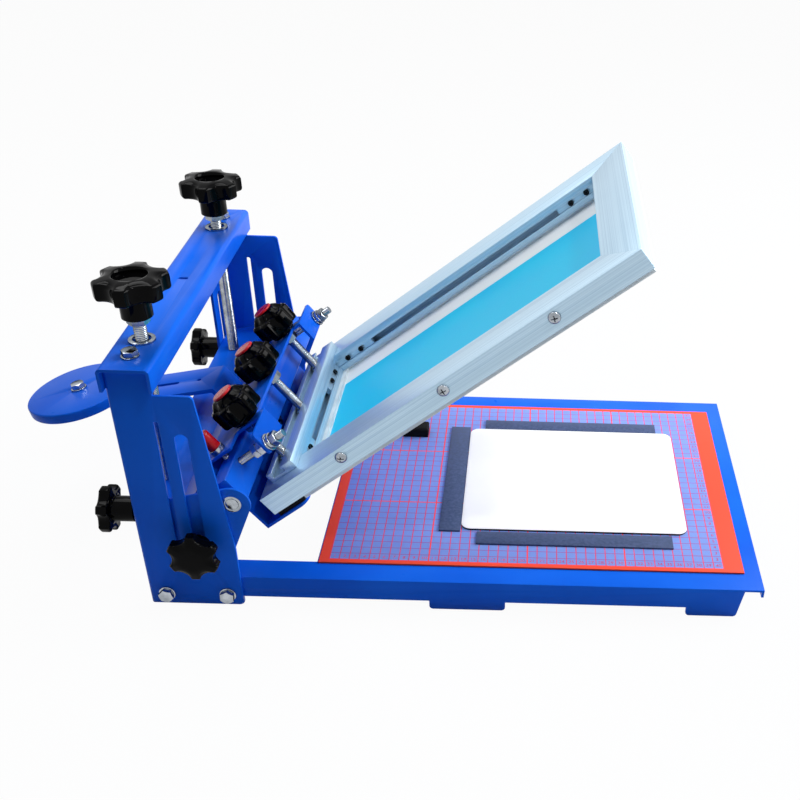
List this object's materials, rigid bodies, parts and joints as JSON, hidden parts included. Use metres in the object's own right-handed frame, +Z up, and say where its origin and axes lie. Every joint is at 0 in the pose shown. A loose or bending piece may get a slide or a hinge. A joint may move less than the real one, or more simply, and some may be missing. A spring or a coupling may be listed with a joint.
{
  "type": "tabletop screen printing press",
  "caption": "Tabletop screen printing press: sheet-steel base and bed with a gridded mat, height-adjustable bridge, and a counterweighted head that tilts a framed screen.",
  "frame": {"origin": "on the bench, below the middle of the whole press", "axes": "+X along the bed from the uprights to its open end, +Y to the far side, +Z up"},
  "size_m": [0.7734, 0.4236, 0.3777],
  "materials": {
    "blue_enamel": "glossy",
    "mat_vinyl": "matte",
    "strip_board": "matte",
    "white_board": "satin",
    "black_rubber": "matte",
    "zinc_steel": "satin",
    "frame_aluminium": "satin",
    "black_knob": "glossy",
    "red_cap": "glossy",
    "mesh_frame_white": "matte",
    "mesh_fabric": "matte",
    "stencil_blue": "satin",
    "black_screw": "satin"
  },
  "bodies": {
    "frame": {"base_frame": "blue_enamel", "cutting_mat": "mat_vinyl", "guide_strips": "strip_board", "print_board": "white_board", "screen_rest_block": "black_rubber", "near_upright": "blue_enamel", "far_upright": "blue_enamel", "top_beam": "blue_enamel", "frame_bolts": "zinc_steel", "frame_washers": "zinc_steel", "frame_nuts": "zinc_steel", "lift_washers": "zinc_steel", "lift_nuts": "zinc_steel"},
    "carriage": {"carriage_bracket": "blue_enamel", "pivot_bushes": "zinc_steel", "stud_nuts": "zinc_steel"},
    "near_lift": {"near_lift_screw": "zinc_steel", "near_lift_knob": "black_knob"},
    "far_lift": {"far_lift_screw": "zinc_steel", "far_lift_knob": "black_knob"},
    "near_side_clamp": {"near_side_stud": "zinc_steel", "near_side_knob": "black_knob"},
    "far_side_clamp": {"far_side_stud": "zinc_steel", "far_side_knob": "black_knob"},
    "near_rear_clamp": {"near_rear_stud": "zinc_steel", "near_rear_knob": "black_knob"},
    "far_rear_clamp": {"far_rear_stud": "zinc_steel", "far_rear_knob": "black_knob"},
    "tilt_bar": {"pivot_bar": "blue_enamel", "registration_rods": "zinc_steel"},
    "near_registration": {"near_registration_nuts": "zinc_steel"},
    "far_registration": {"far_registration_nuts": "zinc_steel"},
    "head": {"head_channel": "blue_enamel", "clamp_screw_nuts": "zinc_steel", "frame_seat_pad": "black_rubber", "counterweight_arm": "blue_enamel", "counterweight_disc": "blue_enamel", "arm_bolts": "zinc_steel"},
    "slide_lock": {"slide_lock_screw": "zinc_steel", "slide_lock_cap": "red_cap"},
    "screen": {"near_rail": "frame_aluminium", "far_rail": "frame_aluminium", "base_rail": "frame_aluminium", "end_rail": "frame_aluminium", "corner_connectors": "frame_aluminium", "corner_screws": "black_screw", "rail_screws": "zinc_steel", "mesh_frame": "mesh_frame_white", "screen_mesh": "mesh_fabric", "stencil_film": "stencil_blue"},
    "screen_clamp": {"clamp_bar": "frame_aluminium"},
    "near_clamp": {"near_clamp_screw": "zinc_steel", "near_clamp_knob": "black_knob", "near_clamp_cap": "red_cap"},
    "middle_clamp": {"middle_clamp_screw": "zinc_steel", "middle_clamp_knob": "black_knob", "middle_clamp_cap": "red_cap"},
    "far_clamp": {"far_clamp_screw": "zinc_steel", "far_clamp_knob": "black_knob", "far_clamp_cap": "red_cap"}
  },
  "joints": [
    {"name": "lift", "type": "slide", "parent": "frame", "child": "carriage", "axis": [0, 0, 1], "range_m": [-0.008, 0.012]},
    {"name": "near_lift_turn", "type": "hinge", "parent": "carriage", "child": "near_lift", "pos_m": [-0.2028, -0.1325, 0.2], "axis": [0, 0, 1], "range_deg": [-1646, 2469]},
    {"name": "far_lift_turn", "type": "hinge", "parent": "carriage", "child": "far_lift", "pos_m": [-0.2028, 0.1325, 0.2], "axis": [0, 0, 1], "range_deg": [-1646, 2469]},
    {"name": "near_side_clamp_turn", "type": "hinge", "parent": "carriage", "child": "near_side_clamp", "pos_m": [-0.1653, -0.2, 0.08], "axis": [0, -1, 0], "range_deg": [0, 360]},
    {"name": "far_side_clamp_turn", "type": "hinge", "parent": "carriage", "child": "far_side_clamp", "pos_m": [-0.1653, 0.2, 0.08], "axis": [0, 1, 0], "range_deg": [0, 360]},
    {"name": "near_rear_clamp_turn", "type": "hinge", "parent": "carriage", "child": "near_rear_clamp", "pos_m": [-0.2438, -0.1635, 0.104], "axis": [-1, 0, 0], "range_deg": [0, 360]},
    {"name": "far_rear_clamp_turn", "type": "hinge", "parent": "carriage", "child": "far_rear_clamp", "pos_m": [-0.2438, 0.1635, 0.104], "axis": [-1, 0, 0], "range_deg": [0, 360]},
    {"name": "tilt", "type": "hinge", "parent": "carriage", "child": "tilt_bar", "pos_m": [-0.1298, 0, 0.124], "axis": [0, -1, 0], "range_deg": [-38, 12]},
    {"name": "registration", "type": "slide", "parent": "tilt_bar", "child": "head", "axis": [0.788, 0, 0.6157], "range_m": [-0.004, 0.004]},
    {"name": "near_registration_turn", "type": "hinge", "parent": "head", "child": "near_registration", "pos_m": [-0.0991, -0.1315, 0.16511], "axis": [0.788, 0, 0.6157], "range_deg": [-1153, 1153]},
    {"name": "far_registration_turn", "type": "hinge", "parent": "head", "child": "far_registration", "pos_m": [-0.0991, 0.1315, 0.16511], "axis": [0.788, 0, 0.6157], "range_deg": [-1153, 1153]},
    {"name": "slide_lock_turn", "type": "hinge", "parent": "head", "child": "slide_lock", "pos_m": [-0.15397, -0.123, 0.14763], "axis": [-0.6157, 0, 0.788], "range_deg": [0, 360]},
    {"name": "screen_insert", "type": "slide", "parent": "head", "child": "screen", "axis": [0.788, 0, 0.6157], "range_m": [-0.003, 0.025]},
    {"name": "screen_clamp_lift", "type": "slide", "parent": "head", "child": "screen_clamp", "axis": [-0.6157, 0, 0.788], "range_m": [0, 0.005]},
    {"name": "near_clamp_turn", "type": "hinge", "parent": "screen_clamp", "child": "near_clamp", "pos_m": [-0.13728, -0.0905, 0.17336], "axis": [-0.6157, 0, 0.788], "range_deg": [0, 1201]},
    {"name": "middle_clamp_turn", "type": "hinge", "parent": "screen_clamp", "child": "middle_clamp", "pos_m": [-0.13728, 0, 0.17336], "axis": [-0.6157, 0, 0.788], "range_deg": [0, 1201]},
    {"name": "far_clamp_turn", "type": "hinge", "parent": "screen_clamp", "child": "far_clamp", "pos_m": [-0.13728, 0.0905, 0.17336], "axis": [-0.6157, 0, 0.788], "range_deg": [0, 1201]}
  ],
  "couplings": [
    {"joint": "near_lift_turn", "follows": "lift", "rad_per_m": 3590.4},
    {"joint": "far_lift_turn", "follows": "lift", "rad_per_m": 3590.4},
    {"joint": "near_registration_turn", "follows": "registration", "rad_per_m": 5026.5},
    {"joint": "far_registration_turn", "follows": "registration", "rad_per_m": 5026.5},
    {"joint": "near_clamp_turn", "follows": "screen_clamp_lift", "rad_per_m": 4188.8},
    {"joint": "middle_clamp_turn", "follows": "screen_clamp_lift", "rad_per_m": 4188.8},
    {"joint": "far_clamp_turn", "follows": "screen_clamp_lift", "rad_per_m": 4188.8}
  ]
}
